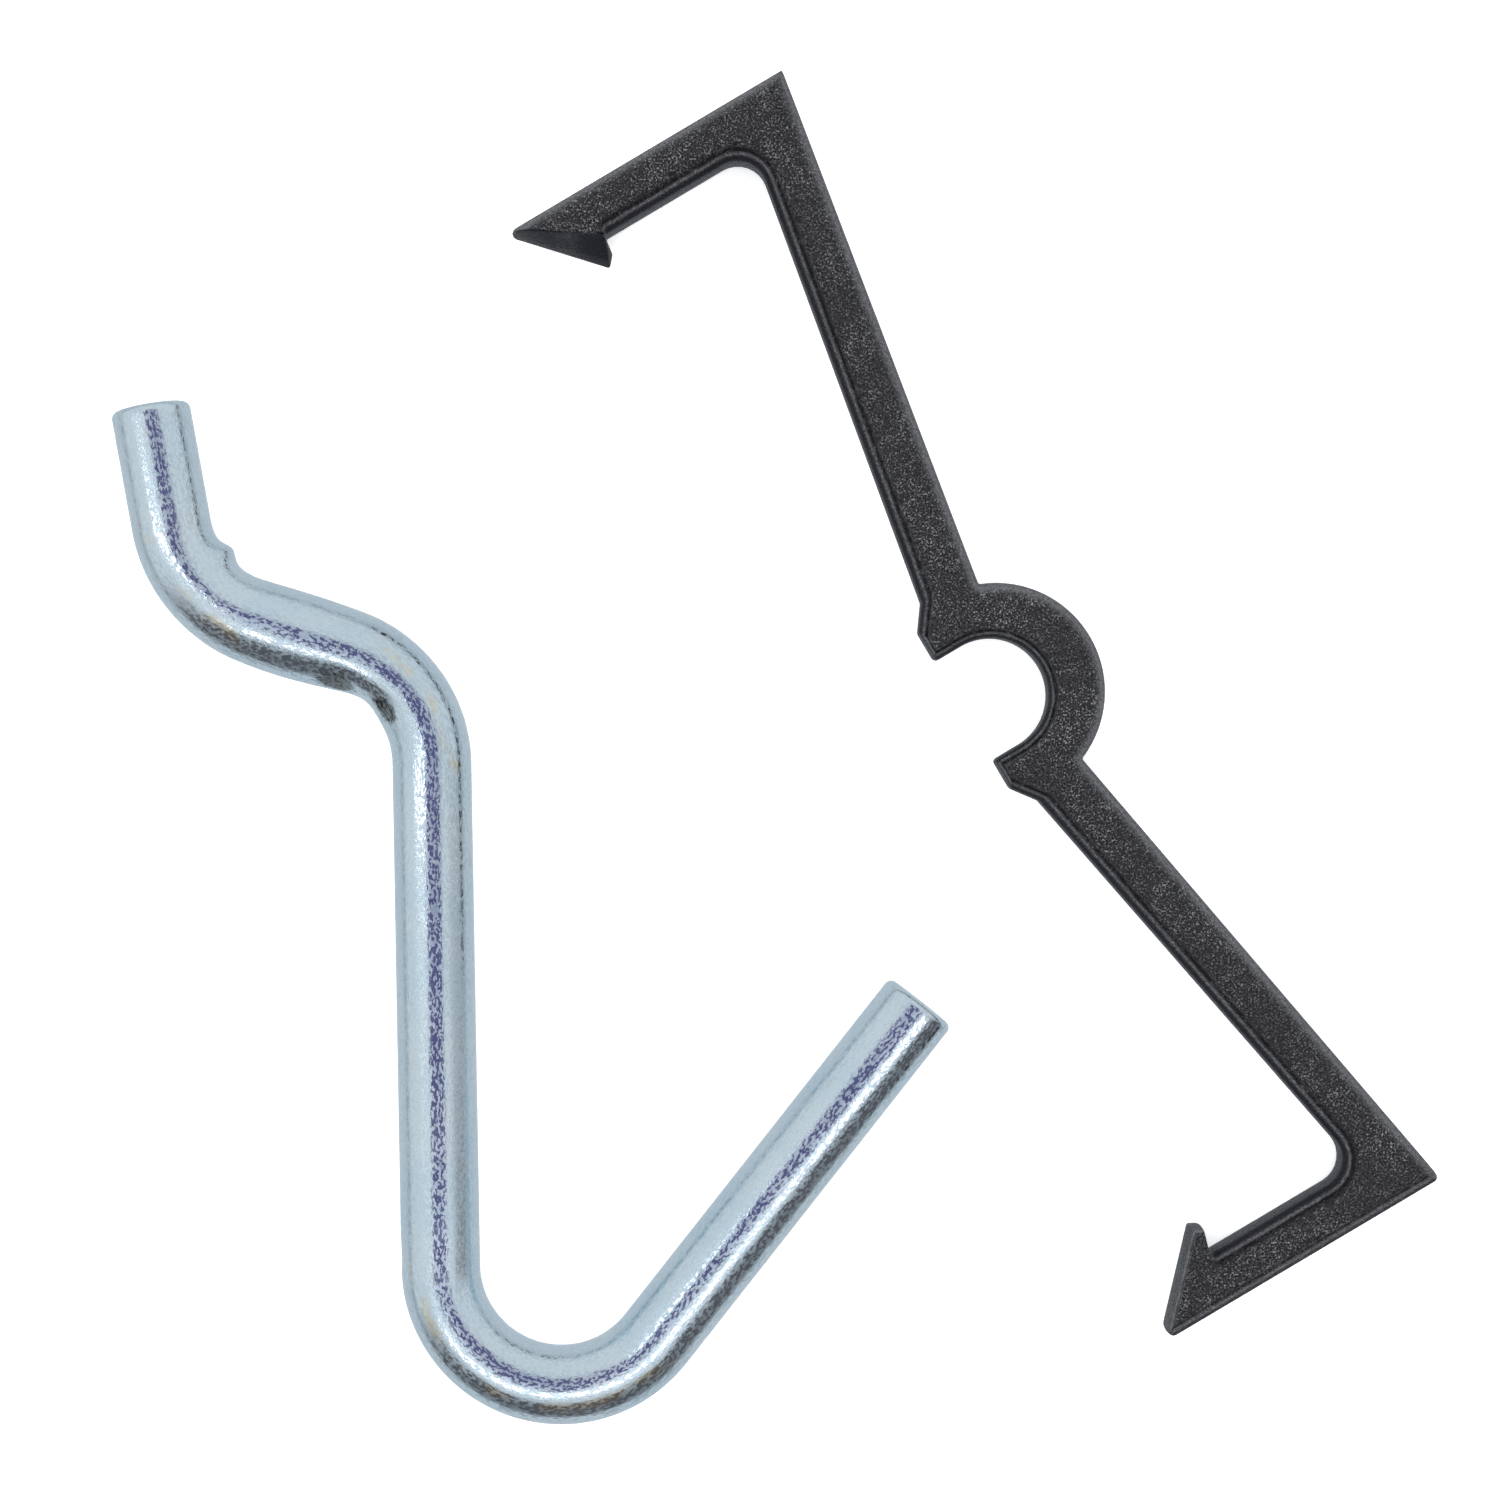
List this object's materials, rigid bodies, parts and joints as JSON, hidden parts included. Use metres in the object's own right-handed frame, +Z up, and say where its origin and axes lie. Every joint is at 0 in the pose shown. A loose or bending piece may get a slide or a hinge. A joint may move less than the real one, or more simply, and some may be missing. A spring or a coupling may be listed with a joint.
{
  "type": "pegboard hook with locking clip",
  "caption": "Bent steel wire hook for perforated board, lying beside the moulded spring clip that straddles its stem and locks it to the board.",
  "frame": {"origin": "middle of the footprint of both pieces, on the surface they lie on", "axes": "+Z up from the surface, square to both flat pieces; +Y up the hook's stem towards the peg, as the pieces are laid out; +X from the hook towards the clip"},
  "size_m": [0.0574, 0.0584, 0.0034],
  "materials": {
    "zinc_plated_steel": "bright bluish zinc plate, satin to glossy, fine grain along the wire",
    "black_plastic": "matte charcoal black moulding with a fine grainy skin"
  },
  "bodies": {
    "hook": {"wire_hook": "zinc_plated_steel"},
    "clip_saddle": {"saddle": "black_plastic"},
    "clip_upper_arm": {"upper_arm": "black_plastic"},
    "clip_lower_arm": {"lower_arm": "black_plastic"},
    "clip_upper_leg": {"upper_leg": "black_plastic"},
    "clip_lower_leg": {"lower_leg": "black_plastic"}
  },
  "joints": [
    {"name": "clip_swivel", "type": "hinge", "parent": "hook", "child": "clip_saddle", "pos_m": [0.00957, 0.00242, 0.0016], "axis": [0, 0, 1], "range_deg": [-20, 20]},
    {"name": "upper_arm_flex", "type": "hinge", "parent": "clip_saddle", "child": "clip_upper_arm", "pos_m": [0.00728, 0.00769, 0.0016], "axis": [0, 0, 1], "range_deg": [-3, 9.8], "stiffness_Nm_per_rad": 1.3},
    {"name": "lower_arm_flex", "type": "hinge", "parent": "clip_saddle", "child": "clip_lower_arm", "pos_m": [0.0131, -0.00212, 0.0016], "axis": [0, 0, -1], "range_deg": [-3, 9.8], "stiffness_Nm_per_rad": 1.3},
    {"name": "upper_leg_snap", "type": "hinge", "parent": "clip_upper_arm", "child": "clip_upper_leg", "pos_m": [-0.00324, 0.02575, 0.0016], "axis": [0, 0, -1], "range_deg": [-2, 6], "stiffness_Nm_per_rad": 2.7},
    {"name": "lower_leg_snap", "type": "hinge", "parent": "clip_lower_arm", "child": "clip_lower_leg", "pos_m": [0.02392, -0.02, 0.0016], "axis": [0, 0, 1], "range_deg": [-2, 6], "stiffness_Nm_per_rad": 2.7}
  ]
}
